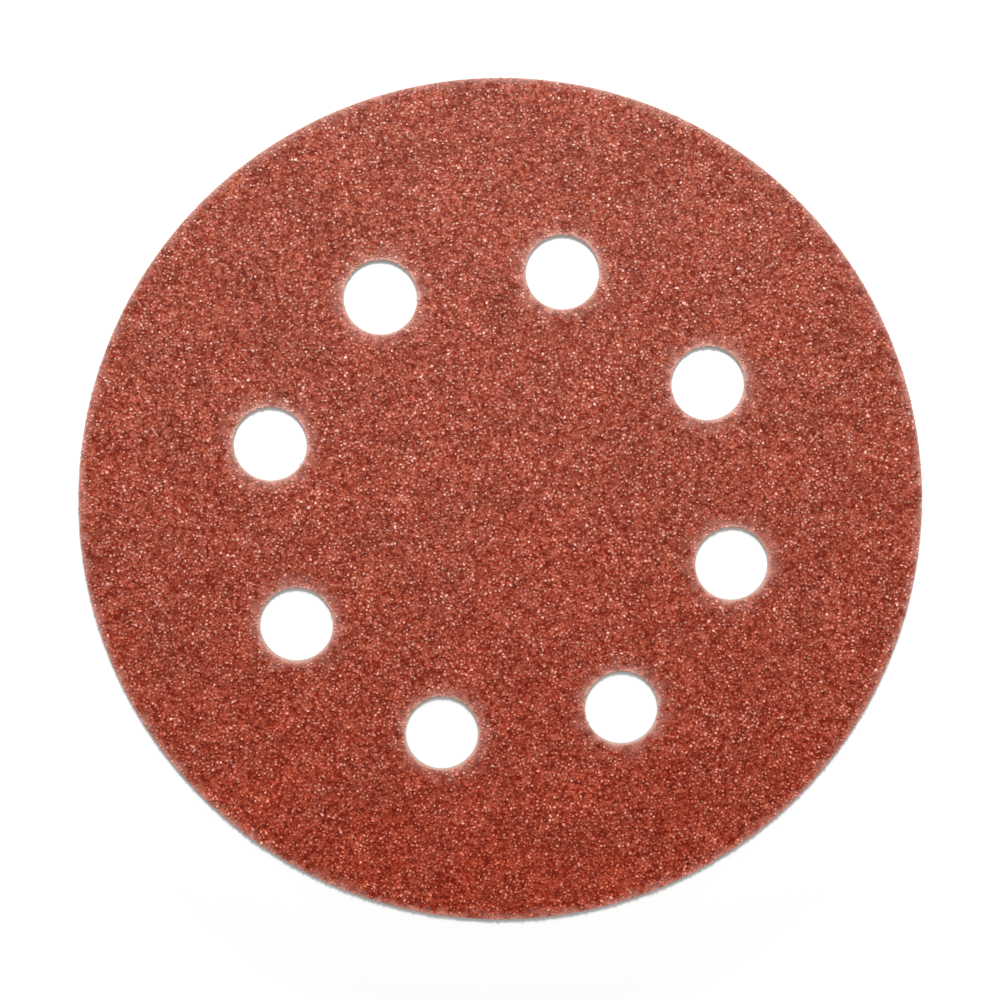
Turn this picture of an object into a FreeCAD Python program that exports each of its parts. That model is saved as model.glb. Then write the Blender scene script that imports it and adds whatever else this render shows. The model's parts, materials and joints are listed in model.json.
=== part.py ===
"""Hook and loop sanding disc, 115 mm, with eight dust holes.

The disc is a laminate of three webs that are bonded together and then die cut in one stroke. From
the bottom up they are the loop fabric that grips the backing pad, the paper that carries the grain,
and the abrasive coat of grain held in resin. The cut goes through all three at the same line, and
each web answers the blade in its own way, so every web has its own edge section:

- the pile of the loop fabric falls away at the cut, in two slopes along its lower rim,
- the paper shears clean and stays upright,
- the brittle coat chips, which leaves a slope along its upper rim.

The same three edge sections run round the outline and round every dust hole.

Frame: the origin is the centre of the disc on the face that grips the pad. +Z points out of the
abrasive face, and the first dust hole lies on +X. All sizes are in millimetres.
"""

import FreeCAD, Part
import math
import os

# Outline and dust holes. A pad of 115 mm has its eight dust ports on a circle of 65 mm.
DISC_DIAMETER = 115.0
HOLE_CIRCLE_DIAMETER = 65.0
HOLE_DIAMETER = 10.0
HOLE_COUNT = 8

# Thickness of each web, from the bottom up. The grain is coarse, about 0.4 mm across, and stands on
# end in its resin, so it needs the heaviest of the usual papers under it.
LOOP_FABRIC_THICKNESS = 0.60
PAPER_THICKNESS = 0.35
COAT_THICKNESS = 0.60

# Edge sections at the cut.
PILE_FALL = 0.30  # how far in from the cut, and how far up it, the pile falls away
CHIP_WIDTH = 0.40  # how far the coat's top face stands back from the cut, about one grain
CHIP_DEPTH = 0.15  # how far down the wall the chipped slope reaches

# A rim's slopes take at most this share of their own web, so that an upright wall is left.
LARGEST_RIM_SHARE = 0.8

# Heights of the faces where the webs meet.
PAD_FACE = 0.0
PAPER_BOTTOM = PAD_FACE + LOOP_FABRIC_THICKNESS
COAT_BOTTOM = PAPER_BOTTOM + PAPER_THICKNESS
ABRASIVE_FACE = COAT_BOTTOM + COAT_THICKNESS

UP = FreeCAD.Vector(0, 0, 1)
AXIS_POINT = FreeCAD.Vector(0, 0, 0)


def line(start, end):
    """Straight edge between two points."""
    return Part.LineSegment(start, end).toShape()


def pile_edge(at, bottom, top):
    """Edge section of the loop fabric: two slopes at the lower rim, then an upright wall.

    The slopes meet at the middle of the quarter round that they stand for.
    """
    radius = min(PILE_FALL, LARGEST_RIM_SHARE * (top - bottom))
    knee = radius * (1 - math.sqrt(0.5))
    on_face = at(radius, bottom)
    on_round = at(knee, bottom + knee)
    on_wall = at(0, bottom + radius)
    return [line(on_face, on_round), line(on_round, on_wall), line(on_wall, at(0, top))]


def sheared_edge(at, bottom, top):
    """Edge section of the paper: an upright wall."""
    return [line(at(0, bottom), at(0, top))]


def chipped_edge(at, bottom, top):
    """Edge section of the coat: an upright wall, then a slope where the coat has chipped away."""
    slope_start = at(0, top - min(CHIP_DEPTH, LARGEST_RIM_SHARE * (top - bottom)))
    return [line(at(0, bottom), slope_start), line(slope_start, at(CHIP_WIDTH, top))]


def turned(edge_section, at, bottom, top):
    """Solid of revolution about Z that is bounded by an edge section.

    at(setback, height) places a point of the section. setback is measured from the cut into the web,
    so the same section serves the outline, where it lies inside the cut, and a hole, where it lies
    outside it.
    """
    wall = edge_section(at, bottom, top)
    first = wall[0].Vertexes[0].Point
    last = wall[-1].Vertexes[-1].Point
    on_axis_low = FreeCAD.Vector(0, 0, bottom)
    on_axis_high = FreeCAD.Vector(0, 0, top)
    outline = [line(on_axis_low, first), *wall, line(last, on_axis_high), line(on_axis_high, on_axis_low)]
    return Part.Face(Part.Wire(outline)).revolve(AXIS_POINT, UP, 360)


def inside_outline(setback, height):
    """Point of an edge section at the disc's outline."""
    return FreeCAD.Vector(DISC_DIAMETER / 2 - setback, 0, height)


def around_hole(setback, height):
    """Point of an edge section at a dust hole that stands on the Z axis."""
    return FreeCAD.Vector(HOLE_DIAMETER / 2 + setback, 0, height)


def hole_centres():
    """Centres of the dust holes, evenly spaced on their circle, the first on +X."""
    step = 2 * math.pi / HOLE_COUNT
    reach = HOLE_CIRCLE_DIAMETER / 2
    return [
        FreeCAD.Vector(reach * math.cos(n * step), reach * math.sin(n * step), 0)
        for n in range(HOLE_COUNT)
    ]


def die_cut_web(edge_section, bottom, top):
    """One web of the laminate: a round blank with the dust holes punched out of it."""
    blank = turned(edge_section, inside_outline, bottom, top)
    slug = turned(edge_section, around_hole, bottom, top)
    slugs = [slug.translated(centre) for centre in hole_centres()]
    return blank.cut(slugs)


def loop_fabric():
    """Brushed loop fabric that grips the hooks of the backing pad."""
    return die_cut_web(pile_edge, PAD_FACE, PAPER_BOTTOM)


def backing_paper():
    """Paper that carries the abrasive coat, glued to the loop fabric."""
    return die_cut_web(sheared_edge, PAPER_BOTTOM, COAT_BOTTOM)


def abrasive_coat():
    """Grain and resin on the paper, as high as the tips of the grain."""
    return die_cut_web(chipped_edge, COAT_BOTTOM, ABRASIVE_FACE)


def main():
    os.makedirs("parts", exist_ok=True)
    for web in (loop_fabric, backing_paper, abrasive_coat):
        solid = web()
        solid.exportStep(f"parts/{web.__name__}.step")
        size = solid.optimalBoundingBox()
        print(
            f"{web.__name__}: {len(solid.Solids)} solid, valid {solid.isValid()}, {solid.Volume:.1f} mm3,"
            f" {size.XLength:.2f} x {size.YLength:.2f} mm, z {size.ZMin:.2f} to {size.ZMax:.2f}"
        )


main()
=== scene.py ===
# %% [markdown]
# # A hook and loop sanding disc
#
# A sanding disc looks flat and simple from across the bench, and its whole character is in its
# surface. It is three webs that are bonded together and cut by one stroke of a die: a loop fabric
# that grips the sander's pad, a heavy paper, and on top a coat of red-brown grain held in resin. This
# lesson dresses those three webs. The grain and the loops are real shapes, because they make the
# silhouette and the sparkle, and what is finer than a grain is left to the materials.
#
# Everything is in metres. The disc lies on its loops with its centre at the origin, and +Z points out
# of the grain.

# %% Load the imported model
import json
import math

import bpy
import numpy as np
from mathutils import Matrix, Vector

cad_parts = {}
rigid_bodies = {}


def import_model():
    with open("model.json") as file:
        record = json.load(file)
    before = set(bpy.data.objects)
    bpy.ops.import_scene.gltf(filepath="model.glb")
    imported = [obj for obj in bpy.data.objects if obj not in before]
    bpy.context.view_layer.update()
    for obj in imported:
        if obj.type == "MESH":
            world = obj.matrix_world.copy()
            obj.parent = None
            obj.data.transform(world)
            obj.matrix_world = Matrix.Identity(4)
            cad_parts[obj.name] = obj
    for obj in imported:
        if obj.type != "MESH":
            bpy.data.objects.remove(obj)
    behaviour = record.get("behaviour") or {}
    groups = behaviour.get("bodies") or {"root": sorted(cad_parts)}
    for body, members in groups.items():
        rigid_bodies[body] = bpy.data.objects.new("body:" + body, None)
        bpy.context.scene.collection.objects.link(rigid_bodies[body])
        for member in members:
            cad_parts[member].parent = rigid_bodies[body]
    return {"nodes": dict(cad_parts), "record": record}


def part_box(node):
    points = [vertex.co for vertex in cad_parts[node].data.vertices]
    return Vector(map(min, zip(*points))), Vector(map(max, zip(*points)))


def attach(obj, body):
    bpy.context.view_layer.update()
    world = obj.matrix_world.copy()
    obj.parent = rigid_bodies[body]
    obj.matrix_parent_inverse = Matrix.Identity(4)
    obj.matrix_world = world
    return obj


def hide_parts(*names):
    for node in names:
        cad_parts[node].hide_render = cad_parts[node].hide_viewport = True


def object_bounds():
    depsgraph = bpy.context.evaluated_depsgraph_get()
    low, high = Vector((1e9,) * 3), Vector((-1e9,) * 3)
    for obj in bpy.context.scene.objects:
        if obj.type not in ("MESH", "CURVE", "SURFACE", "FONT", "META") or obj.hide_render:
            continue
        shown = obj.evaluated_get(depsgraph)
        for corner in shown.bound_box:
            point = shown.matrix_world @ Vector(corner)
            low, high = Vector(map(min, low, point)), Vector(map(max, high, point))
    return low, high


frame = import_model()
cad_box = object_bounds()
print("pieces in the packed model:", ", ".join(sorted(frame["nodes"])))

# %% [markdown]
# ## The sizes that everything hangs on
#
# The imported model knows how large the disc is, where its dust holes are and at which heights the
# webs meet. Nothing below repeats those numbers: the outline, the circle of holes and the heights are
# read from the model, so the dressed disc stays true to it.

# %% Read the sizes from the model
MM = 0.001
mounts = {mount["name"]: mount for mount in frame["record"]["mounts"]}
ring = mounts["dust_holes"]["dims"]
HOLE_COUNT = ring["count"]
HOLE_CIRCLE_RADIUS = ring["pcd_mm"] * MM / 2
HOLE_RADIUS = ring["hole_r_mm"] * MM
DISC_RADIUS = (cad_box[1].x - cad_box[0].x) / 2
PAD_FACE, PAPER_BOTTOM = (corner.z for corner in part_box("loop_fabric"))
COAT_BOTTOM, GRAIN_TIPS = (corner.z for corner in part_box("abrasive_coat"))
print(f"disc of {2 * DISC_RADIUS / MM:.1f} mm, {HOLE_COUNT} holes of {2 * HOLE_RADIUS / MM:.1f} mm")
print(f"paper from {PAPER_BOTTOM / MM:.2f} to {COAT_BOTTOM / MM:.2f} mm, tips at {GRAIN_TIPS / MM:.2f} mm")

# %% [markdown]
# ## The camera
#
# The disc is seen from nearly straight above and from about 30 cm, with the camera 2 cm off the disc's
# axis. The camera is placed first, because how much of a grain can be seen from there decides how it is
# modelled: half a millimetre is only four points of the picture. The disc's first hole points a little
# down to the right, so the view is turned about the disc's axis.

# %% Place the camera
VIEW_TURN = math.radians(14.64)  # from the picture's right-hand side to the disc's first hole
CAMERA_PLACE = Vector((-6.30, 21.29, 299.6)) * MM  # over the grain's tips, in the picture's directions
CAMERA_AIM = Vector((-0.261, 0.607, 0.0)) * MM
SENSOR_WIDTH = 36.0
LENS = 79.52


def in_the_picture(point):
    """A point given in the picture's directions, over the grain's tips, as a place in the model."""
    return Matrix.Rotation(VIEW_TURN, 4, "Z") @ point + Vector((0, 0, GRAIN_TIPS))


camera_data = bpy.data.cameras.new("camera")
camera_data.sensor_width = SENSOR_WIDTH
camera_data.lens = LENS
camera_data.clip_start = 10 * MM
camera = bpy.data.objects.new("camera", camera_data)
bpy.context.scene.collection.objects.link(camera)


def aim(thing, place, target, picture_up):
    """Puts a camera or lamp at a place, facing a target, with its top towards picture_up."""
    back = (place - target).normalized()
    right = picture_up.cross(back).normalized()
    turned = Matrix((right, back.cross(right), back)).transposed()
    thing.matrix_world = Matrix.Translation(place) @ turned.to_4x4()


picture_up = Matrix.Rotation(VIEW_TURN, 3, "Z") @ Vector((0, 1, 0))
aim(camera, in_the_picture(CAMERA_PLACE), in_the_picture(CAMERA_AIM), picture_up)
bpy.context.scene.camera = camera
print("camera stands", round((camera.location - Vector((0, 0, GRAIN_TIPS))).length / MM), "mm from the disc")

# %% [markdown]
# ## The table and the light
#
# The disc lies on a plain white table. One soft lamp stands past the top of the picture and lights it
# from high up, so each grain shows a lit side and the rim of each hole throws a narrow shadow on the
# table. The world fills the rest softly. The lamp and the world add up to about 1 on a level surface,
# so a colour looks as it is written. The camera sees the table a little whiter than the disc's light
# does, and that is enough for plain paper white that still keeps the shadows. Past the disc's
# surroundings, where the lamp's light falls off, the camera sees it turn to plain white.

# %% Helpers that make and feed nodes
WHITE = (1, 1, 1)


def feed(tree, node, values):
    """Links a node's inputs to other nodes' sockets, or sets them, by their names or numbers."""
    for name, value in values.items():
        socket = node.inputs[name]
        if isinstance(value, bpy.types.NodeSocket):
            tree.links.new(value, socket)
        elif socket.type == "RGBA":
            socket.default_value = (*value, 1.0)
        else:
            socket.default_value = value


def new_node(tree, kind, values, **settings):
    """A new node, with its settings made and its inputs fed."""
    node = tree.nodes.new(kind)
    for name, setting in settings.items():
        setattr(node, name, setting)
    feed(tree, node, values)
    return node


def own_point(tree):
    """The point of the surface in the model's own directions."""
    return new_node(tree, "ShaderNodeTexCoord", {}).outputs["Object"]


def seen_directly(tree):
    """1 where a ray comes from the camera, a mirror or glass, and 0 where it carries light."""
    path = new_node(tree, "ShaderNodeLightPath", {}).outputs
    seen = path["Is Camera Ray"]
    for kind in ("Is Glossy Ray", "Is Transmission Ray"):
        seen = new_node(tree, "ShaderNodeMath", {0: seen, 1: path[kind]}, operation="MAXIMUM").outputs[0]
    return seen


# %% Light the disc
LAMP_ELEVATION = math.radians(63)
LAMP_DISTANCE = 0.42
LAMP_SIDE = 0.09
LAMP_POWER = 1.45
WORLD_STRENGTH = 0.37

scene = bpy.context.scene
scene.view_settings.view_transform = "Standard"

lamp_data = bpy.data.lights.new("soft_lamp", "AREA")
lamp_data.shape = "SQUARE"
lamp_data.size = LAMP_SIDE
lamp_data.energy = LAMP_POWER
lamp = bpy.data.objects.new("soft_lamp", lamp_data)
scene.collection.objects.link(lamp)
lamp_place = Vector((0, math.cos(LAMP_ELEVATION), math.sin(LAMP_ELEVATION))) * LAMP_DISTANCE
aim(lamp, in_the_picture(lamp_place), in_the_picture(Vector()), picture_up)

world = bpy.data.worlds.new("soft_room")
scene.world = world
world.use_nodes = True
sky = world.node_tree
sky_level = new_node(
    sky, "ShaderNodeMapRange", {"Value": seen_directly(sky), "To Min": WORLD_STRENGTH, "To Max": 1.0}
)
feed(sky, sky.nodes["Background"], {"Color": WHITE, "Strength": sky_level.outputs["Result"]})
print("lamp at", round(math.degrees(LAMP_ELEVATION)), "degrees, world strength", WORLD_STRENGTH)

# %% Lay the table
TABLE_HALF_SIDE = 3.0
TABLE_SHADE = 0.80  # what the table gives back to the disc
TABLE_WHITE = 0.99  # what the camera sees
TABLE_LIFT = 0.05  # a little light of its own, which only the camera sees
PLAIN_WHITE = (0.07, 0.20)  # between these distances from the disc's centre it turns plain white
TABLE_ROUGHNESS = 0.9
TABLE_GLOSS = 0.1


def start_clean():
    """Leaves edit mode and deselects everything, so the next operator touches only its own piece."""
    if bpy.context.object and bpy.context.object.mode != "OBJECT":
        bpy.ops.object.mode_set(mode="OBJECT")
    bpy.ops.object.select_all(action="DESELECT")


def take_up(piece):
    """Makes a piece the only one that is selected, and the active one."""
    start_clean()
    piece.select_set(True)
    bpy.context.view_layer.objects.active = piece


def new_material(name):
    """An empty node material, its tree and its Principled shader."""
    material = bpy.data.materials.new(name)
    material.use_nodes = True
    return material, material.node_tree, material.node_tree.nodes["Principled BSDF"]


start_clean()
bpy.ops.mesh.primitive_plane_add(size=2 * TABLE_HALF_SIDE, location=(0, 0, PAD_FACE))
table = bpy.context.object
table.name = "table"
table_material, tree, shader = new_material("white_table")
direct = seen_directly(tree)
table_tone = new_node(
    tree, "ShaderNodeMix", {0: direct, 6: (TABLE_SHADE,) * 3, 7: (TABLE_WHITE,) * 3}, data_type="RGBA"
)
away = new_node(tree, "ShaderNodeVectorMath", {0: own_point(tree)}, operation="LENGTH")
whitening = new_node(tree, "ShaderNodeMapRange", {
    "Value": away.outputs["Value"],
    "From Min": PLAIN_WHITE[0],
    "From Max": PLAIN_WHITE[1],
    "To Min": TABLE_LIFT,
})
table_glow = new_node(
    tree, "ShaderNodeMapRange", {"Value": direct, "To Max": whitening.outputs["Result"]}
)
feed(tree, shader, {
    "Base Color": table_tone.outputs[2],
    "Emission Color": WHITE,
    "Emission Strength": table_glow.outputs["Result"],
    "Roughness": TABLE_ROUGHNESS,
    "Specular IOR Level": TABLE_GLOSS,
})
table.data.materials.append(table_material)
print("table of", 2 * TABLE_HALF_SIDE, "m, plain white from", PLAIN_WHITE[1], "m out")

# %% [markdown]
# ## One tool for every web: the die
#
# Every web is a round plate with eight holes, and the cut is at the same line in all of them. It could
# be drawn as one outline with holes and filled, but a cylinder with eight punches taken out of it is
# nearer to how the disc is made, and it gives upright walls with a clean ring of points at each rim.
# Those rings are what is roughened afterwards, each web in its own way.

# %% A plate with punched holes
OUTLINE_POINTS = 900
HOLE_POINTS = 96
HAIR = 0.01 * MM


def hole_centres():
    """Centres of the dust holes."""
    step = 2 * math.pi / HOLE_COUNT
    return [
        Vector((math.cos(n * step), math.sin(n * step), 0)) * HOLE_CIRCLE_RADIUS
        for n in range(HOLE_COUNT)
    ]


def round_bar(name, centre, radius, bottom, top, points):
    """A round bar that stands on its end, with its place in its mesh."""
    start_clean()
    bpy.ops.mesh.primitive_cylinder_add(
        vertices=points,
        radius=radius,
        depth=top - bottom,
        location=(centre.x, centre.y, (bottom + top) / 2),
    )
    bar = bpy.context.object
    bar.name = name
    bpy.ops.object.transform_apply(location=True, rotation=True, scale=True)
    return bar


def die_cut_plate(name, bottom, top, setback=0.0, fine=1.0):
    """A round plate with the dust holes punched out, all of it a setback back from the die's line."""
    plate = round_bar(name, Vector(), DISC_RADIUS - setback, bottom, top, round(OUTLINE_POINTS * fine))
    past = top - bottom
    reach = HOLE_RADIUS + setback
    punches = [
        round_bar("punch", centre, reach, bottom - past, top + past, round(HOLE_POINTS * fine))
        for centre in hole_centres()
    ]
    start_clean()
    for punch in punches:
        punch.select_set(True)
    bpy.context.view_layer.objects.active = punches[0]
    bpy.ops.object.join()
    tool = bpy.context.object
    take_up(plate)
    cut = plate.modifiers.new("punch_out", "BOOLEAN")
    cut.operation = "DIFFERENCE"
    cut.object = tool
    bpy.ops.object.modifier_apply(modifier=cut.name)
    bpy.data.objects.remove(tool)
    return plate


def start_picking(piece, kind):
    """Deselects all of a piece, so that its faces, edges or points can be picked in code."""
    take_up(piece)
    bpy.ops.object.mode_set(mode="EDIT")
    bpy.ops.mesh.select_mode(type=kind)
    bpy.ops.mesh.select_all(action="DESELECT")
    bpy.ops.object.mode_set(mode="OBJECT")


def pick_faces(piece, wanted):
    """In edit mode, selects the faces for which wanted(centre, normal) is true."""
    start_picking(piece, "FACE")
    for face in piece.data.polygons:
        face.select = wanted(face.center, face.normal)
    bpy.ops.object.mode_set(mode="EDIT")


def pick_points(piece, wanted, kind="VERT"):
    """In edit mode, selects the points, or the edges between points, for which wanted(point) is true."""
    start_picking(piece, kind)
    mesh = piece.data
    chosen = [wanted(v.co) for v in mesh.vertices]
    for v, is_chosen in zip(mesh.vertices, chosen):
        v.select = is_chosen
    for edge in mesh.edges:
        edge.select = all(chosen[i] for i in edge.vertices)
    bpy.ops.object.mode_set(mode="EDIT")


def from_the_cut(point):
    """How far a point is from the nearest line of the die."""
    flat = Vector((point.x, point.y, 0))
    to_hole = min((flat - centre).length for centre in hole_centres()) - HOLE_RADIUS
    return min(to_hole, DISC_RADIUS - flat.length)


def say_size(piece):
    """Says how many points and faces a finished piece has."""
    print(f"{piece.name}: {len(piece.data.vertices)} points, {len(piece.data.polygons)} faces")


print(f"a point every {2 * math.pi * DISC_RADIUS / OUTLINE_POINTS / MM:.2f} mm along the outline")

# %% [markdown]
# ## The resin coat
#
# On the paper lies a coat of resin that the grain stands in, nearly half as deep as the grain is long.
# Between the grains it shows as red-brown valleys, and towards the cut it is crushed and chipped: the
# die leaves it short of the line by up to two fifths of a grain's width, and the pale paper shows past
# it. So the plate is punched a little short of the line. A narrow ring is inset on its upper face first,
# so that the middle of the face stays flat when the rim is broken. Then the rim is bevelled and its
# points are scattered at random, which is what chipping does.

# %% Cut the resin coat
RESIN_TOP = COAT_BOTTOM + 0.25 * MM
CHIP = 0.12 * MM
CHIP_SCATTER = 0.08 * MM
CHIP_BEVEL = 0.06 * MM
RIM_RING = 0.35 * MM

resin = die_cut_plate("resin_coat", COAT_BOTTOM, RESIN_TOP, setback=CHIP)
pick_faces(resin, lambda centre, normal: normal.z > 0.5)
bpy.ops.mesh.inset(thickness=RIM_RING, depth=0)
pick_points(resin, lambda p: p.z > RESIN_TOP - HAIR and from_the_cut(p) < CHIP + HAIR, kind="EDGE")
bpy.ops.mesh.bevel(offset=CHIP_BEVEL, segments=2, profile=0.5)
pick_points(resin, lambda p: p.z > COAT_BOTTOM + HAIR and from_the_cut(p) < CHIP + CHIP_BEVEL + HAIR)
bpy.ops.transform.vertex_random(offset=CHIP_SCATTER, uniform=0.5, normal=0.0, seed=3)
start_clean()
say_size(resin)

# %% [markdown]
# ## One grain, seven times
#
# Fused aluminium oxide breaks into blocky shards with flat faces and sharp corners. Each shape here
# starts as a short tapered bar with four or five sides, and its corners are then thrown off at random,
# so no two faces meet squarely. That leaves 12 or 16 triangles on a grain, which is enough for a thing
# that is about half a millimetre across, and few enough to have tens of thousands of them.

# %% Break the grain shapes
GRAIN_WIDTH = 0.50 * MM
GRAIN_LENGTH = 0.54 * MM
GRAIN_SHAPES = 7
NARROWEST_TIP = 0.10  # this and the next two are shares of a grain's width
TIP_STEP = 0.07
CORNER_THROW = 0.13


def put_away(shape, collection):
    """Takes a finished shape out of the scene and into a collection that only the scatter reads."""
    start_clean()
    for home in list(shape.users_collection):
        home.objects.unlink(shape)
    collection.objects.link(shape)


def break_grain(number, collection):
    """One shard, standing on end with its middle at the origin."""
    start_clean()
    bpy.ops.mesh.primitive_cone_add(
        vertices=5 if number % 2 else 4,
        radius1=0.5 * GRAIN_WIDTH,
        radius2=(NARROWEST_TIP + TIP_STEP * (number % 3)) * GRAIN_WIDTH,
        depth=GRAIN_LENGTH,
    )
    grain = bpy.context.object
    grain.name = f"grain_shape_{number + 1}"
    bpy.ops.object.mode_set(mode="EDIT")
    bpy.ops.mesh.select_all(action="SELECT")
    throw = CORNER_THROW * GRAIN_WIDTH
    bpy.ops.transform.vertex_random(offset=throw, uniform=1.0, normal=0.0, seed=number + 11)
    bpy.ops.mesh.quads_convert_to_tris(quad_method="SHORTEST_DIAGONAL", ngon_method="BEAUTY")
    bpy.ops.mesh.normals_make_consistent(inside=False)
    put_away(grain, collection)
    return len(grain.data.polygons)


grain_shapes = bpy.data.collections.new("grain_shapes")
print("triangles on each grain:", [break_grain(n, grain_shapes) for n in range(GRAIN_SHAPES)])

# %% [markdown]
# ## Tens of thousands of grains
#
# In the factory an electric field throws the grain up into the wet resin. It lands at random, but two
# grains can't share a place, and each stands more or less on end. That is a scatter with a least
# distance between points, and Geometry Nodes does it in one node. The points are thrown on one large
# square, always with the same seed, and a flat punched plate serves as a stencil: only the points that
# fall on it stay. The same scatter is run four times and keeps another quarter of the disc each time, so
# no seam shows and no piece grows too heavy. Each grain also gets a number of its own, its tone, which
# its material turns into colour. The paler grains stand a little higher.

# %% Helpers for a scatter


def random_value(tree, kind, low, high, seed):
    """A Random Value node's output."""
    least, most, out = {"FLOAT_VECTOR": (0, 1, 0), "FLOAT": (2, 3, 1), "INT": (4, 5, 2)}[kind]
    values = {least: low, most: high, "Seed": seed}
    return new_node(tree, "FunctionNodeRandomValue", values, data_type=kind).outputs[out]


def compare(tree, value, operation, limit):
    """True where a number stands so to a limit."""
    values = {0: value, 1: limit}
    return new_node(
        tree, "FunctionNodeCompare", values, data_type="FLOAT", operation=operation
    ).outputs[0]


def both(tree, first, second):
    """True where both are true."""
    return new_node(tree, "FunctionNodeBooleanMath", {0: first, 1: second}, operation="AND").outputs[0]


def parts_of(tree, point):
    """The X, Y and Z of a point."""
    return new_node(tree, "ShaderNodeSeparateXYZ", {0: point}).outputs


# %% Throw the points and keep some of them
DRAWS = {"turn": 2, "shape": 3, "size": 4, "tone": 5}  # added to a scatter's seed, one for each draw


def thrown_points(tree, height, spacing, most, seed):
    """Points thrown at random on a large square, no two of them nearer than the spacing."""
    side = 2 * DISC_RADIUS
    corners = {"Size X": side, "Size Y": side, "Vertices X": 2, "Vertices Y": 2}
    square = new_node(tree, "GeometryNodeMeshGrid", corners)
    lifted = {"Geometry": square.outputs["Mesh"], "Offset": (0, 0, height)}
    level = new_node(tree, "GeometryNodeSetPosition", lifted)
    limits = {"Mesh": level.outputs[0], "Distance Min": spacing, "Density Max": most, "Seed": seed}
    return new_node(
        tree, "GeometryNodeDistributePointsOnFaces", limits, distribute_method="POISSON"
    ).outputs["Points"]


def kept_points(tree, points, stencil, sides):
    """Those of the points that fall on the stencil, and on the given sides of X = 0 and Y = 0."""
    near = new_node(tree, "GeometryNodeProximity", {0: stencil}, target_element="FACES")
    stays = compare(tree, near.outputs["Distance"], "LESS_THAN", HAIR)
    place = parts_of(tree, new_node(tree, "GeometryNodeInputPosition", {}).outputs[0])
    for part, side in zip(place, sides):
        if side:
            half = compare(tree, part, "GREATER_EQUAL" if side > 0 else "LESS_THAN", 0.0)
            stays = both(tree, stays, half)
    values = {"Geometry": points, "Selection": stays}
    return new_node(tree, "GeometryNodeSeparateGeometry", values, domain="POINT").outputs["Selection"]


def raised_points(tree, points, lift, seed):
    """Gives each point a tone of its own and lifts it, between the two heights of a lift."""
    drawn = random_value(tree, "FLOAT", 0.0, 1.0, seed + DRAWS["tone"])
    values = {"Geometry": points, "Name": "tone", "Value": drawn}
    toned = new_node(
        tree, "GeometryNodeStoreNamedAttribute", values, data_type="FLOAT", domain="POINT"
    )
    tone = new_node(tree, "GeometryNodeInputNamedAttribute", {"Name": "tone"}, data_type="FLOAT")
    heights = {"Value": tone.outputs["Attribute"], "To Min": lift[0], "To Max": lift[1]}
    rise = new_node(tree, "ShaderNodeMapRange", heights)
    upward = new_node(tree, "ShaderNodeCombineXYZ", {"Z": rise.outputs["Result"]})
    moved = {"Geometry": toned.outputs[0], "Offset": upward.outputs[0]}
    return new_node(tree, "GeometryNodeSetPosition", moved).outputs[0]


# %% Set a shape on each point
def standing_copies(tree, points, shapes, turn, size, seed):
    """Sets a shape from a collection on each point, turned and sized at random."""
    choice = {"Collection": shapes, "Separate Children": True, "Reset Children": True}
    family = new_node(tree, "GeometryNodeCollectionInfo", choice)
    turned = random_value(tree, "FLOAT_VECTOR", *turn, seed + DRAWS["turn"])
    copies = new_node(tree, "GeometryNodeInstanceOnPoints", {
        "Points": points,
        "Instance": family.outputs[0],
        "Pick Instance": True,
        "Instance Index": random_value(tree, "INT", 0, len(shapes.objects) - 1, seed + DRAWS["shape"]),
        "Rotation": new_node(tree, "FunctionNodeEulerToRotation", {0: turned}).outputs[0],
        "Scale": random_value(tree, "FLOAT_VECTOR", *size, seed + DRAWS["size"]),
    })
    return new_node(tree, "GeometryNodeRealizeInstances", {"Geometry": copies.outputs[0]}).outputs[0]


def scatter_tree(shapes, height, spacing, most, seed, turn, size, lift, sides=(0, 0)):
    """A tree that sets shapes from a collection over a stencil, each turned, sized and lifted."""
    tree = bpy.data.node_groups.new("scatter", "GeometryNodeTree")
    for way in ("INPUT", "OUTPUT"):
        tree.interface.new_socket("Geometry", in_out=way, socket_type="NodeSocketGeometry")
    given = new_node(tree, "NodeGroupInput", {})
    points = thrown_points(tree, height, spacing, most, seed)
    points = kept_points(tree, points, given.outputs[0], sides)
    points = raised_points(tree, points, lift, seed)
    new_node(tree, "NodeGroupOutput", {0: standing_copies(tree, points, shapes, turn, size, seed)})
    return tree


def flat_stencil(height, setback):
    """The upper face alone of a punched plate."""
    plate = die_cut_plate("stencil", height - MM, height, setback, fine=0.5)
    pick_faces(plate, lambda centre, normal: normal.z < 0.5)
    bpy.ops.mesh.delete(type="FACE")
    start_clean()
    return plate


def scatter_over(stencil, name, tree):
    """Copies a stencil, runs a scatter tree on the copy, and makes the result the piece's mesh."""
    piece = stencil.copy()
    piece.data = stencil.data.copy()
    piece.name = piece.data.name = name
    bpy.context.scene.collection.objects.link(piece)
    take_up(piece)
    scatter = piece.modifiers.new("scatter", "NODES")
    scatter.node_group = tree
    bpy.ops.object.modifier_apply(modifier=scatter.name)
    bpy.data.node_groups.remove(tree)
    print(name, len(piece.data.polygons), "faces")
    return piece


# %% Scatter the grain in four quarters
GRAIN_SPACING = 0.415 * MM
GRAIN_THROWN = 16e6  # a square metre, before those too near another are taken back
GRAIN_MIDDLE = COAT_BOTTOM + 0.29 * MM
GRAIN_SETBACK = 0.32 * MM
GRAIN_TILT = math.radians(27)
GRAIN_SIZES = ((0.62, 0.62, 0.80), (1.36, 1.36, 1.10))  # least and most: across, across and along
GRAIN_LIFTS = (-0.07 * MM, 0.03 * MM)
QUARTERS = {"north_east": (1, 1), "north_west": (-1, 1), "south_west": (-1, -1), "south_east": (1, -1)}


def any_way(tilt):
    """The least and most turn of a shape that leans by up to a tilt and faces any way."""
    return (-tilt, -tilt, 0), (tilt, tilt, 2 * math.pi)


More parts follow.
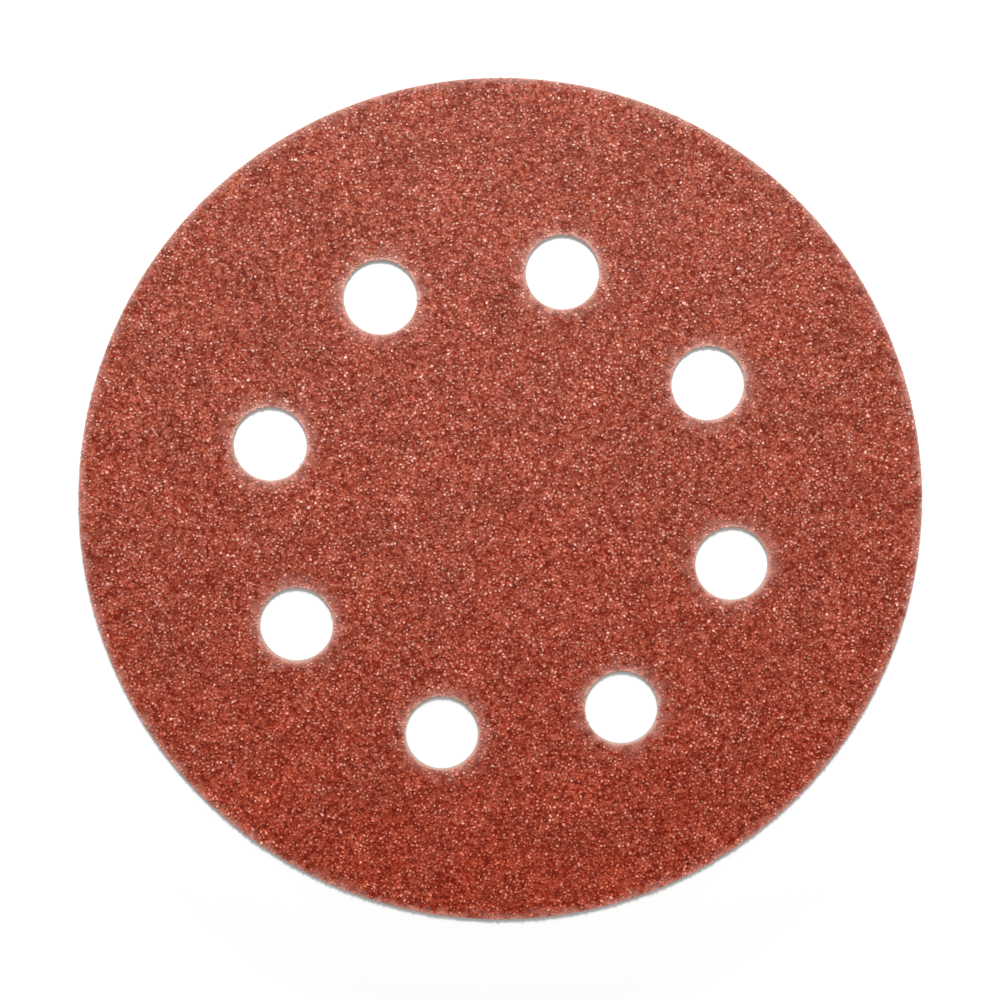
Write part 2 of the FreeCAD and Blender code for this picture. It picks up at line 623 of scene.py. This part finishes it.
def scatter_in_quarters(name, setback, shapes, height, *amounts, **ways):
    """Scatters shapes over one quarter of the disc after another, and gives the four pieces."""
    stencil = flat_stencil(height, setback)
    pieces = []
    for quarter, sides in QUARTERS.items():
        tree = scatter_tree(shapes, height, *amounts, sides=sides, **ways)
        pieces.append(scatter_over(stencil, f"{name}_{quarter}", tree))
    bpy.data.objects.remove(stencil)
    return pieces


grain_pieces = scatter_in_quarters(
    "grain", GRAIN_SETBACK, grain_shapes, GRAIN_MIDDLE, GRAIN_SPACING, GRAIN_THROWN, seed=7,
    turn=any_way(GRAIN_TILT), size=GRAIN_SIZES, lift=GRAIN_LIFTS,
)

# %% [markdown]
# ## Crumbs along the cut
#
# The die can't cut a grain, so it breaks those that lie under it. What stays along each rim is a
# narrow band of crumbs, smaller and paler than whole grains, because a fresh break has no resin on it.
# They are the same seven shapes at about half the size, scattered over a band that follows each rim.

# %% Scatter the crumbs
CRUMB_SETBACK = 0.10 * MM
CRUMB_BAND = 0.32 * MM
CRUMB_SPACING = 0.19 * MM
CRUMB_THROWN = 40e6
CRUMB_MIDDLE = COAT_BOTTOM + 0.26 * MM
CRUMB_TILT = 0.9  # radians
CRUMB_SIZES = ((0.34, 0.34, 0.40), (0.58, 0.58, 0.62))
CRUMB_LIFTS = (-0.07 * MM, 0.12 * MM)

stencil = flat_stencil(CRUMB_MIDDLE, CRUMB_SETBACK)
pick_faces(stencil, lambda centre, normal: True)
bpy.ops.mesh.inset(thickness=CRUMB_BAND, depth=0)
bpy.ops.mesh.delete(type="FACE")
start_clean()
crumbs = scatter_over(stencil, "rim_crumbs", scatter_tree(
    grain_shapes, CRUMB_MIDDLE, CRUMB_SPACING, CRUMB_THROWN, seed=41,
    turn=any_way(CRUMB_TILT), size=CRUMB_SIZES, lift=CRUMB_LIFTS,
))
bpy.data.objects.remove(stencil)

# %% [markdown]
# ## The loop fabric's ground
#
# Under the paper lies a thin warp knit. Its ground is a close fabric, and its pile is a field of
# small loops for the hooks of the pad to catch. The ground is cut by the same die, from the paper down
# to half of the fabric's height, and its lower rim is rounded, as a soft web gives way under a blade.

# %% Cut the ground
GROUND_BOTTOM = PAD_FACE + 0.30 * MM
GROUND_ROUND = 0.10 * MM

ground = die_cut_plate("loop_ground", GROUND_BOTTOM, PAPER_BOTTOM)
pick_faces(ground, lambda centre, normal: normal.z < -0.5)
bpy.ops.mesh.inset(thickness=RIM_RING, depth=0)
pick_points(ground, lambda p: p.z < GROUND_BOTTOM + HAIR and from_the_cut(p) < HAIR, kind="EDGE")
bpy.ops.mesh.bevel(offset=GROUND_ROUND, segments=2, profile=0.5)
start_clean()
say_size(ground)

# %% [markdown]
# ## The pile
#
# Each loop is half a turn of yarn that comes out of the ground and goes back into it. The section of
# the yarn is a triangle, which is enough at a tenth of a millimetre, and spinning it through half a
# turn gives the loop. Brushing leaves the loops leaning one way, more or less, and turned at random
# about that way. They are scattered as the grain is, each quarter of the disc at a time.

# %% Spin one loop
YARN_RADIUS = 0.055 * MM
LOOP_RADIUS = 0.33 * MM
LOOP_STEPS = 4
LOOP_SHAPES = 3
NARROWEST_LOOP = 0.75  # of a round loop's width
LOOP_WIDTH_STEP = 0.15


def spin_loop(number, collection):
    """Half a turn of yarn, hanging from the origin, and a little wider or narrower than the last."""
    start_clean()
    bpy.ops.mesh.primitive_circle_add(
        vertices=3, radius=YARN_RADIUS, fill_type="NGON", location=(LOOP_RADIUS, 0, 0)
    )
    loop = bpy.context.object
    loop.name = f"loop_shape_{number + 1}"
    bpy.ops.object.transform_apply(location=True, rotation=True, scale=True)
    bpy.ops.object.mode_set(mode="EDIT")
    bpy.ops.mesh.select_all(action="SELECT")
    bpy.ops.mesh.spin(steps=LOOP_STEPS, angle=-math.pi, center=(0, 0, 0), axis=(0, 1, 0))
    bpy.ops.mesh.select_all(action="SELECT")
    bpy.ops.transform.resize(value=(NARROWEST_LOOP + LOOP_WIDTH_STEP * number, 1, 1))
    bpy.ops.mesh.normals_make_consistent(inside=False)
    bpy.ops.object.mode_set(mode="OBJECT")
    lowest = min(v.co.z for v in loop.data.vertices)
    put_away(loop, collection)
    return len(loop.data.polygons), round(lowest / MM, 3)


loop_shapes = bpy.data.collections.new("loop_shapes")
print("faces and lowest point of each loop:", [spin_loop(n, loop_shapes) for n in range(LOOP_SHAPES)])

# %% Scatter the pile in four quarters
LOOP_SPACING = 0.62 * MM
LOOP_THROWN = 12e6
LOOP_ROOT = PAD_FACE + 0.40 * MM
LOOP_SETBACK = 0.16 * MM
LOOP_TURNS = ((0.15, -0.12, -0.9), (0.75, 0.12, 0.9))  # radians: all lean one way, more or less
LOOP_SIZES = ((0.80, 0.80, 0.85), (1.10, 1.0, 1.02))
LOOP_LIFTS = (0.0, 0.03 * MM)

pile_pieces = scatter_in_quarters(
    "loop_pile", LOOP_SETBACK, loop_shapes, LOOP_ROOT, LOOP_SPACING, LOOP_THROWN, seed=23,
    turn=LOOP_TURNS, size=LOOP_SIZES, lift=LOOP_LIFTS,
)

# %% [markdown]
# ## A flat map for what was scattered
#
# Grains and loops are all seen from one side, so each scattered piece gets a map as if it were pressed
# flat. The side that shows is laid out square on and fills most of the map. The faces that look the
# other way would lie on top of it, so they are laid out small beside it. A piece leans a little in its
# map, which gives its upright faces some width.

# %% Lay out the scattered pieces
SHOWN_SHARE = 0.74  # of the map's width
HIDDEN_SHARE = 0.25
LEAN = 0.25


def numbers_of(items, name, kind, width=1):
    """One number or vector from each item of a mesh, as an array."""
    found = np.empty(len(items) * width, kind)
    items.foreach_get(name, found)
    return found.reshape(-1, width) if width > 1 else found


def lay_out(piece, side):
    """Gives a piece a flat map, seen from above where side is 1 and from below where it is -1."""
    mesh = piece.data
    places = numbers_of(mesh.vertices, "co", np.float32, 3)
    flat = places[:, :2] + LEAN * places[:, 2:]
    flat = (flat - flat.min(axis=0)) / np.ptp(flat, axis=0).max()
    shown = numbers_of(mesh.polygons, "normal", np.float32, 3)[:, 2] * side > 0
    shown = np.repeat(shown, numbers_of(mesh.polygons, "loop_total", np.int32))[:, None]
    corners = flat[numbers_of(mesh.loops, "vertex_index", np.int32)]
    beside = np.array((1 - HIDDEN_SHARE, 0), np.float32)
    spread = np.where(shown, corners * SHOWN_SHARE, beside + corners * HIDDEN_SHARE)
    layer = mesh.uv_layers.new(name="OFBake")  # the name that marks a piece's own map
    layer.uv.foreach_set("vector", spread.astype(np.float32).ravel())
    return round(float(shown.mean()), 2)


up_shares = [lay_out(piece, 1) for piece in (*grain_pieces, crumbs)]
down_shares = [lay_out(piece, -1) for piece in pile_pieces]
print("share of corners that show: grain and crumbs", up_shares, "and pile", down_shares)

# %% [markdown]
# ## How far from the cut?
#
# The die crushes what lies beside its line, and the resin, the grain and the crumbs are paler there. So
# one node group answers one question for all their materials: how far is this point from the outline,
# and how far from the nearest hole? The outline is easy, since it is the radius less the distance from
# the axis. The eight holes would need eight distances, but they repeat round the axis, so the point is
# folded into one eighth of the disc and measured to a single hole.

# %% Helpers for numbers and colours
def maths(tree, operation, *values, clamp=False):
    """A Math node, whose inputs are numbers or other nodes' sockets."""
    values = dict(enumerate(values))
    return new_node(tree, "ShaderNodeMath", values, operation=operation, use_clamp=clamp).outputs[0]


def length_of(tree, first, second):
    """The length of a vector with two parts."""
    squares = [maths(tree, "MULTIPLY", part, part) for part in (first, second)]
    return maths(tree, "SQRT", maths(tree, "ADD", *squares))


def map_range(tree, value, low, high, to_low=0.0, to_high=1.0):
    """A value between low and high, eased to a value between to_low and to_high."""
    limits = {"Value": value, "From Min": low, "From Max": high, "To Min": to_low, "To Max": to_high}
    node = new_node(tree, "ShaderNodeMapRange", limits, interpolation_type="SMOOTHSTEP")
    return node.outputs["Result"]


def mix_colours(tree, amount, first, second, blend="MIX"):
    """Two colours mixed by an amount."""
    values = {0: amount, 6: first, 7: second}
    return new_node(tree, "ShaderNodeMix", values, data_type="RGBA", blend_type=blend).outputs[2]


def tinted(tree, colour, tint):
    """A colour times a tint."""
    return mix_colours(tree, 1.0, colour, tint, blend="MULTIPLY")


def shaded(tree, colour, shade):
    """A colour made lighter or darker by a number about 1."""
    grey = new_node(tree, "ShaderNodeCombineColor", {0: shade, 1: shade, 2: shade})
    return tinted(tree, colour, grey.outputs[0])


def colour_ramp(tree, value, stops):
    """A colour ramp through the given stops."""
    node = new_node(tree, "ShaderNodeValToRGB", {"Fac": value})
    elements = node.color_ramp.elements
    for n, (place, colour) in enumerate(stops):
        element = elements[n] if n < 2 else elements.new(place)
        element.position = place
        element.color = (*colour, 1.0)
    return node.outputs["Color"]


# %% Helpers for patterns and groups
def noise(tree, point, cell, detail=2.0, roughness=0.55):
    """A noise whose lumps are about one cell across."""
    scale = maths(tree, "DIVIDE", 1.0, cell)
    values = {"Vector": point, "Scale": scale, "Detail": detail, "Roughness": roughness}
    return new_node(tree, "ShaderNodeTexNoise", values).outputs["Fac"]


def stretched(tree, point, scale):
    """The point with its axes scaled, which stretches a pattern."""
    return new_node(tree, "ShaderNodeMapping", {"Vector": point, "Scale": scale}).outputs[0]


def shader_group(name, inputs, outputs):
    """A node group with named inputs and outputs, its input node and its output node."""
    group = bpy.data.node_groups.new(name, "ShaderNodeTree")
    for socket_name, kind, value in inputs:
        socket = group.interface.new_socket(socket_name, in_out="INPUT", socket_type=kind)
        if value is not None:
            socket.default_value = value
    for socket_name, kind in outputs:
        group.interface.new_socket(socket_name, in_out="OUTPUT", socket_type=kind)
    print("node group", name, "puts out", ", ".join(socket_name for socket_name, kind in outputs))
    return group, group.nodes.new("NodeGroupInput"), group.nodes.new("NodeGroupOutput")


def place_group(tree, group, **values):
    """Puts a node group in a material with its own values."""
    values = {name.replace("_", " "): value for name, value in values.items()}
    return new_node(tree, "ShaderNodeGroup", values, node_tree=group)


# %% Helpers for what a material reads and feeds
MOST_OF_A_NOISE = (0.30, 0.70)  # nearly all of a noise's values lie between these


def own_tone(tree):
    """The number that the scatter gave to each grain or loop."""
    return new_node(tree, "ShaderNodeAttribute", {}, attribute_name="tone").outputs["Fac"]


def roughened(tree, shader, height, limits):
    """Lets a noise set the shader's roughness, from one limit to the other."""
    feed(tree, shader, {"Roughness": map_range(tree, height, *MOST_OF_A_NOISE, *limits)})


def bumped(tree, shader, height, distance, strength):
    """Feeds a height to the shader's normal through a Bump node."""
    bump = new_node(tree, "ShaderNodeBump", {"Height": height, "Distance": distance, "Strength": strength})
    feed(tree, shader, {"Normal": bump.outputs["Normal"]})


# %% The group that measures the distance to the cut
cut_distance, given, result = shader_group(
    "distance_to_the_cut",
    [("Point", "NodeSocketVector", None)],
    [("To Outline", "NodeSocketFloat"), ("To Hole", "NodeSocketFloat")],
)
x, y = parts_of(cut_distance, given.outputs["Point"])[:2]
from_axis = length_of(cut_distance, x, y)
sector = 2 * math.pi / HOLE_COUNT
angle = maths(cut_distance, "ARCTAN2", y, x)
folded = maths(cut_distance, "WRAP", angle, sector / 2, -sector / 2)
along = maths(cut_distance, "MULTIPLY", from_axis, maths(cut_distance, "COSINE", folded))
along = maths(cut_distance, "SUBTRACT", along, HOLE_CIRCLE_RADIUS)
across = maths(cut_distance, "MULTIPLY", from_axis, maths(cut_distance, "SINE", folded))
to_hole = maths(cut_distance, "SUBTRACT", length_of(cut_distance, along, across), HOLE_RADIUS)
to_outline = maths(cut_distance, "SUBTRACT", DISC_RADIUS, from_axis)
feed(cut_distance, result, {"To Outline": to_outline, "To Hole": to_hole})

# %% [markdown]
# ## What the die does to the colour
#
# Where the blade presses, the resin cracks and goes a pale pink. The pale band is widest round the
# holes, because the punch is blunt, and narrower along the outline. It is never even, so its width
# follows a noise. The second group is the mottle of baked resin, stone and yarn: a fine speckle over a
# slow drift of shade, and the height of its lumps, which roughness and bump follow.

# %% The group for crushing
CRUSH_WAVER = 1.5 * MM
CRUSH_SWING = (0.45, 1.55)  # the pale band's least and most width, in times its middle width
CRUSH_FALL = 1.6  # at 1 the paleness would fall evenly with distance; above 1 it falls fast at first
CRUSHED_PINK = (0.88, 0.55, 0.47)

crushing, given, result = shader_group(
    "crushed_by_the_die",
    [("Point", "NodeSocketVector", None),
     ("At Holes", "NodeSocketFloat", 0.001), ("Peak At Holes", "NodeSocketFloat", 1.0),
     ("At Outline", "NodeSocketFloat", 0.0005), ("Peak At Outline", "NodeSocketFloat", 1.0)],
    [("Amount", "NodeSocketFloat")],
)
distances = place_group(crushing, cut_distance, Point=given.outputs["Point"])
waver = noise(crushing, given.outputs["Point"], CRUSH_WAVER, detail=4.0)
unevenness = map_range(crushing, waver, *MOST_OF_A_NOISE, *CRUSH_SWING)
amounts = []
for side, width in (("To Hole", "At Holes"), ("To Outline", "At Outline")):
    reach = maths(crushing, "MULTIPLY", given.outputs[width], unevenness)
    inward = maths(crushing, "DIVIDE", distances.outputs[side], reach)
    left = maths(crushing, "SUBTRACT", 1.0, inward, clamp=True)
    fall = maths(crushing, "POWER", left, CRUSH_FALL)
    amounts.append(maths(crushing, "MULTIPLY", fall, given.outputs["Peak " + width]))
feed(crushing, result, {"Amount": maths(crushing, "MAXIMUM", *amounts)})


def crushed(tree, point, colour, at_holes, at_outline):
    """A colour that goes pale at the cut. Each kind of cut has a width and a peak of its own."""
    pale = place_group(
        tree, crushing, Point=point, At_Holes=at_holes[0], Peak_At_Holes=at_holes[1],
        At_Outline=at_outline[0], Peak_At_Outline=at_outline[1],
    )
    return mix_colours(tree, pale.outputs["Amount"], colour, CRUSHED_PINK)


# %% The group for mottle
FINE_SHARE = 0.75  # of the mottle; the rest is a drift whose lumps are so many times larger
DRIFT_TIMES = 20.0
SHADE_GAIN = 4.0

mottle, given, result = shader_group(
    "mottle",
    [("Point", "NodeSocketVector", None), ("Lump", "NodeSocketFloat", 0.0002),
     ("Depth", "NodeSocketFloat", 0.2)],
    [("Shade", "NodeSocketFloat"), ("Height", "NodeSocketFloat")],
)
fine_lumps = noise(mottle, given.outputs["Point"], given.outputs["Lump"], detail=3.0, roughness=0.6)
slow_cell = maths(mottle, "MULTIPLY", given.outputs["Lump"], DRIFT_TIMES)
drift = noise(mottle, given.outputs["Point"], slow_cell)
swing = maths(
    mottle, "ADD",
    maths(mottle, "MULTIPLY", fine_lumps, FINE_SHARE), maths(mottle, "MULTIPLY", drift, 1 - FINE_SHARE),
)
swing = maths(mottle, "MULTIPLY", maths(mottle, "SUBTRACT", swing, 0.5), given.outputs["Depth"])
shade = maths(mottle, "ADD", maths(mottle, "MULTIPLY", swing, SHADE_GAIN), 1.0)
feed(mottle, result, {"Shade": shade, "Height": fine_lumps})

# %% [markdown]
# ## The size coat, and painted shade across the disc
#
# Over the grain goes a second, thin coat of resin, rolled on while the web runs. It is never quite
# even, with thinner, pinkish patches and thicker, redder ones a few millimetres wide. Across the whole
# disc the colour also goes from pale and pinkish on the side towards the lamp to darker and redder on
# the far side: that is painted light and shade, not the coat. It also runs the grains together in
# clumps of two or three. A clump with much resin is darker and redder, and one with little is paler
# and pinker.

# %% The size coat and the painted shade as a group
PAINTED_SHADE_RUN = (0.2527, -0.9675)  # towards this side of the disc, away from the lamp, the tint darkens and reddens as painted shade
# the pale end is thin coat and painted light, the dark end thick coat and painted shade
THIN_AND_LIT_TINT = (1.0, 1.08, 1.16)
THICK_AND_SHADED_TINT = (0.94, 0.60, 0.48)
COAT_PATCHES = ((2.2 * MM, 0.55), (9.0 * MM, 0.35))  # how wide they are, and how much they count for
PALE_FOR_LONGER = 2.0  # a power above 1 keeps the pale end, thin coat and painted light, over more of the disc
CLUMP = 0.80 * MM
DARK_CLUMP = (0.70, 0.51, 0.43)  # much resin, which takes least from red
PALE_CLUMP = (1.26, 1.47, 1.56)

coat_and_painted_shade, given, result = shader_group(
    "coat_and_painted_shade",
    [("Point", "NodeSocketVector", None)],
    [("Tint", "NodeSocketColor")],
)
# a painted shade that deepens steadily across the disc, away from the lamp; the coat's own patches are added
# to it, so thickness holds both
run = [
    maths(coat_and_painted_shade, "MULTIPLY", part, towards / (2 * DISC_RADIUS))
    for part, towards in zip(parts_of(coat_and_painted_shade, given.outputs["Point"]), PAINTED_SHADE_RUN)
]
thickness = maths(coat_and_painted_shade, "ADD", *run)
for cell, share in COAT_PATCHES:
    patches = maths(coat_and_painted_shade, "SUBTRACT", noise(coat_and_painted_shade, given.outputs["Point"], cell), 0.5)
    thickness = maths(coat_and_painted_shade, "ADD", thickness, maths(coat_and_painted_shade, "MULTIPLY", patches, share))
thickness = maths(coat_and_painted_shade, "ADD", thickness, 0.5, clamp=True)
thickness = maths(coat_and_painted_shade, "POWER", thickness, PALE_FOR_LONGER)
clumps = noise(coat_and_painted_shade, given.outputs["Point"], CLUMP)
clumps = map_range(coat_and_painted_shade, clumps, *MOST_OF_A_NOISE)
clump_tint = mix_colours(coat_and_painted_shade, clumps, DARK_CLUMP, PALE_CLUMP)
coat_and_shade_tint = mix_colours(coat_and_painted_shade, thickness, THIN_AND_LIT_TINT, THICK_AND_SHADED_TINT)
feed(coat_and_painted_shade, result, {"Tint": tinted(coat_and_painted_shade, coat_and_shade_tint, clump_tint)})


def under_coat_and_painted_shade(tree, point, colour):
    """A colour as it looks under the size coat, and under the painted shade across the disc."""
    return tinted(tree, colour, place_group(tree, coat_and_painted_shade, Point=point).outputs["Tint"])


# %% [markdown]
# ## The grain's material
#
# A grain is a shard of red-brown stone under a skin of baked resin. The tone that the scatter gave it
# sets how dark or pale it is. Low down it is darker and redder, partly from resin that wets it and
# partly as painted shade between the grains, and towards its tip it is bare. Lumps in the skin about
# as wide as half a grain break up each facet, and the skin is dull enough that a facet's own colour is
# what is seen. The size coat's painted shade across the disc lies over it too.

# %% The grain's material as a function
BROWN_STOPS = [  # the two ends, then what lies between them
    (0.00, (0.26, 0.019, 0.006)),
    (1.00, (0.96, 0.605, 0.495)),
    (0.25, (0.48, 0.102, 0.053)),
    (0.50, (0.68, 0.258, 0.178)),
    (0.75, (0.79, 0.390, 0.300)),
]
# darker and redder low on the grain: resin that wets it, and painted shade between the grains
WETTED_AND_SHADED = (0.78, 0.56, 0.48)
UNTOUCHED = (1.0, 1.0, 1.0)
SKIN_SHARE = 0.5  # how much of a grain's tone comes from the skin on it, and not from its stone
SKIN_SPAN = (0.36, 0.64)  # the heights in the skin that are darkest and palest
SKIN_MOTTLE = {"Lump": 0.30 * MM, "Depth": 0.45}
SKIN_RELIEF = {"distance": 0.02 * MM, "strength": 0.5}
WET_AND_SHADED_UP_TO = COAT_BOTTOM + 0.22 * MM
BARE_FROM = COAT_BOTTOM + 0.46 * MM
GRAIN_ROUGHNESS = (0.48, 0.68)
DULL_GLOSS = 0.10


def grain_material(name, *crush):
    """Red-brown stone under a skin of resin, paler towards the cut."""
    material, tree, shader = new_material(name)
    point = own_point(tree)
    lumps = place_group(tree, mottle, Point=point, **SKIN_MOTTLE)
    skin = map_range(tree, lumps.outputs["Height"], *SKIN_SPAN, 0.0, SKIN_SHARE)
    stone = maths(tree, "MULTIPLY", own_tone(tree), 1 - SKIN_SHARE)
    colour = colour_ramp(tree, maths(tree, "ADD", stone, skin), BROWN_STOPS)
    # low on the grain: resin that wets it, and painted shade between the grains
    bare = map_range(tree, parts_of(tree, point)["Z"], WET_AND_SHADED_UP_TO, BARE_FROM)
    colour = tinted(tree, colour, mix_colours(tree, bare, WETTED_AND_SHADED, UNTOUCHED))
    # then the size coat with its painted shade across the disc
    colour = under_coat_and_painted_shade(tree, point, shaded(tree, colour, lumps.outputs["Shade"]))
    colour = crushed(tree, point, colour, *crush)
    feed(tree, shader, {"Base Color": colour, "Specular IOR Level": DULL_GLOSS})
    roughened(tree, shader, lumps.outputs["Height"], GRAIN_ROUGHNESS)
    bumped(tree, shader, lumps.outputs["Height"], **SKIN_RELIEF)
    return material


# %% Dress the grain and the crumbs
GRAIN_CRUSH = ((2.4 * MM, 0.28), (1.35 * MM, 0.34))  # width and peak: at the holes, at the outline
CRUMB_CRUSH = ((0.7 * MM, 0.90), (0.7 * MM, 0.52))


def dress(piece, material):
    """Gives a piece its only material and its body."""
    piece.data.materials.clear()
    piece.data.materials.append(material)
    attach(piece, "root")
    print(piece.name, "wears", material.name)


sized_grain = grain_material("sized_grain", *GRAIN_CRUSH)
broken_grain = grain_material("broken_grain", *CRUMB_CRUSH)
for grain in grain_pieces:
    dress(grain, sized_grain)
dress(crumbs, broken_grain)

# %% [markdown]
# ## The resin's material
#
# Between the grains the resin is red-brown. It is paler where it lies thin and a deep red where it has
# drawn together, which a cell pattern about as wide as the grain's spacing shows well. It wears the
# same clumps and patches as the grain, the same painted shade across the disc, and near the cut the
# same pale pink. Right at the cut, where it has chipped, a narrow band of it is paler still.

# %% Dress the resin
RESIN_STOPS = [(0.10, (0.505, 0.122, 0.068)), (0.75, (0.215, 0.018, 0.005))]  # thin, then deep
RESIN_MOTTLE = {"Lump": 0.28 * MM, "Depth": 0.50}
RESIN_RELIEF = {"distance": 0.06 * MM, "strength": 0.8}
RESIN_ROUGHNESS = (0.35, 0.60)
RESIN_CRUSH = ((2.4 * MM, 0.28), (1.35 * MM, 0.36))
CHIPPED_RIM = ((0.6 * MM, 0.85), (0.45 * MM, 0.50))

resin_material, tree, shader = new_material("baked_resin")
point = own_point(tree)
cells = new_node(tree, "ShaderNodeTexVoronoi", {"Vector": point, "Scale": 1 / GRAIN_SPACING})
lumps = place_group(tree, mottle, Point=point, **RESIN_MOTTLE)
colour = shaded(tree, colour_ramp(tree, cells.outputs["Distance"], RESIN_STOPS), lumps.outputs["Shade"])
# under the size coat and its painted shade across the disc, then paler at the cut
colour = crushed(tree, point, under_coat_and_painted_shade(tree, point, colour), *RESIN_CRUSH)
colour = crushed(tree, point, colour, *CHIPPED_RIM)
feed(tree, shader, {"Base Color": colour, "Specular IOR Level": DULL_GLOSS})
roughened(tree, shader, lumps.outputs["Height"], RESIN_ROUGHNESS)
relief = maths(tree, "ADD", cells.outputs["Distance"], lumps.outputs["Height"])
bumped(tree, shader, relief, **RESIN_RELIEF)
dress(resin, resin_material)
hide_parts("abrasive_coat")

# %% [markdown]
# ## The paper's material
#
# The paper shows only in the cut and as a hair's breadth past the resin. Heavy abrasive paper is laid
# down in thin layers of long fibres, so its cut has faint level streaks, and it is stained by the resin
# near its top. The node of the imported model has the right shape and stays, and only gets its material.

# %% Dress the paper
PAPER_STOPS = [(0.32, (0.56, 0.44, 0.34)), (0.68, (0.80, 0.70, 0.60))]
STREAKS = {"cell": 0.35 * MM, "detail": 4.0, "roughness": 0.65}
STREAKS_FLAT = (1, 1, 9)  # the larger the last number, the flatter they lie
FIBRES = {"cell": 0.06 * MM}
FIBRES_FLAT = (1, 1, 3)
RESIN_STAIN = (0.62, 0.30, 0.22)
STAIN_DEPTH = 0.16 * MM
MOST_STAIN = 0.55
PAPER_ROUGHNESS = (0.75, 0.95)
PAPER_GLOSS = 0.25
PAPER_RELIEF = {"distance": 0.05 * MM, "strength": 0.8}

paper = frame["nodes"]["backing_paper"]
paper_material, tree, shader = new_material("sized_paper")
point = own_point(tree)
streaks = noise(tree, stretched(tree, point, STREAKS_FLAT), **STREAKS)
fibres = noise(tree, stretched(tree, point, FIBRES_FLAT), **FIBRES)
stain = map_range(
    tree, parts_of(tree, point)["Z"], COAT_BOTTOM - STAIN_DEPTH, COAT_BOTTOM, 0.0, MOST_STAIN)
colour = mix_colours(tree, stain, colour_ramp(tree, streaks, PAPER_STOPS), RESIN_STAIN)
feed(tree, shader, {"Base Color": colour, "Specular IOR Level": PAPER_GLOSS})
roughened(tree, shader, fibres, PAPER_ROUGHNESS)
bumped(tree, shader, maths(tree, "ADD", streaks, fibres), **PAPER_RELIEF)
paper.data.materials.clear()
paper.data.materials.append(paper_material)

# %% [markdown]
# ## The yarn and the knit
#
# The fabric is fine white nylon. Each loop is a bundle of filaments with a soft sheen, so its shade
# varies from loop to loop and its surface is fluted. The ground between the loops shows columns of
# stitches, each a pair of leaning legs, which a wave along one axis shifted by a zigzag along the other
# gives well.

# %% The yarn's material
YARN_WHITE = (0.86, 0.85, 0.81)
YARN_GREY = (0.72, 0.71, 0.67)
YARN_ROUGHNESS = (0.42, 0.62)
YARN_MOTTLE = {"Lump": 0.30 * MM, "Depth": 0.12}
YARN_SHEEN = 0.25
FLUTES = {"cell": 0.10 * MM}
FLUTES_LONG = (3, 3, 1)
FLUTES_RELIEF = {"distance": 0.03 * MM, "strength": 0.8}

yarn_material, tree, shader = new_material("loop_yarn")
point = own_point(tree)
flutes = noise(tree, stretched(tree, point, FLUTES_LONG), **FLUTES)
lumps = place_group(tree, mottle, Point=point, **YARN_MOTTLE)
colour = mix_colours(tree, own_tone(tree), YARN_GREY, YARN_WHITE)
colour = shaded(tree, colour, lumps.outputs["Shade"])
feed(tree, shader, {"Base Color": colour, "Sheen Weight": YARN_SHEEN})
roughened(tree, shader, flutes, YARN_ROUGHNESS)
bumped(tree, shader, flutes, **FLUTES_RELIEF)
print("flutes of", round(FLUTES["cell"] / MM, 2), "mm on the yarn")

# %% The knit's material
KNIT_WHITE = (0.66, 0.65, 0.61)
KNIT_SHADE = (0.38, 0.37, 0.34)
KNIT_MOTTLE = {"Lump": 0.16 * MM, "Depth": 0.15}
KNIT_FUZZ = 0.4
KNIT_ROUGHNESS = 0.85
KNIT_SHEEN = 0.3
KNIT_RELIEF = {"distance": 0.08 * MM, "strength": 1.0}
STITCH_WIDTH = 0.62 * MM
STITCH_HEIGHT = 0.50 * MM
STITCH_LEAN = 1.2
SEAM_WIDTH = STITCH_WIDTH / 5

knit_material, tree, shader = new_material("knit_ground")
point = own_point(tree)
x, y = parts_of(tree, point)[:2]
wale = maths(tree, "PINGPONG", x, STITCH_WIDTH / 2)
lean = maths(tree, "ADD", y, maths(tree, "MULTIPLY", wale, STITCH_LEAN))
course = maths(tree, "PINGPONG", lean, STITCH_HEIGHT / 2)
legs = map_range(tree, course, 0.0, STITCH_HEIGHT / 2)
seams = map_range(tree, wale, 0.0, SEAM_WIDTH)
relief = maths(tree, "MULTIPLY", legs, seams)
lumps = place_group(tree, mottle, Point=point, **KNIT_MOTTLE)
# the grooves between the stitch legs take KNIT_SHADE: painted shade in the creases
colour = shaded(tree, mix_colours(tree, relief, KNIT_SHADE, KNIT_WHITE), lumps.outputs["Shade"])
feed(tree, shader, {"Base Color": colour, "Roughness": KNIT_ROUGHNESS, "Sheen Weight": KNIT_SHEEN})
fuzz = maths(tree, "MULTIPLY", lumps.outputs["Height"], KNIT_FUZZ)
bumped(tree, shader, maths(tree, "ADD", relief, fuzz), **KNIT_RELIEF)

# %% Dress the loop fabric
dress(ground, knit_material)
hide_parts("loop_fabric")
for pile in pile_pieces:
    dress(pile, yarn_material)
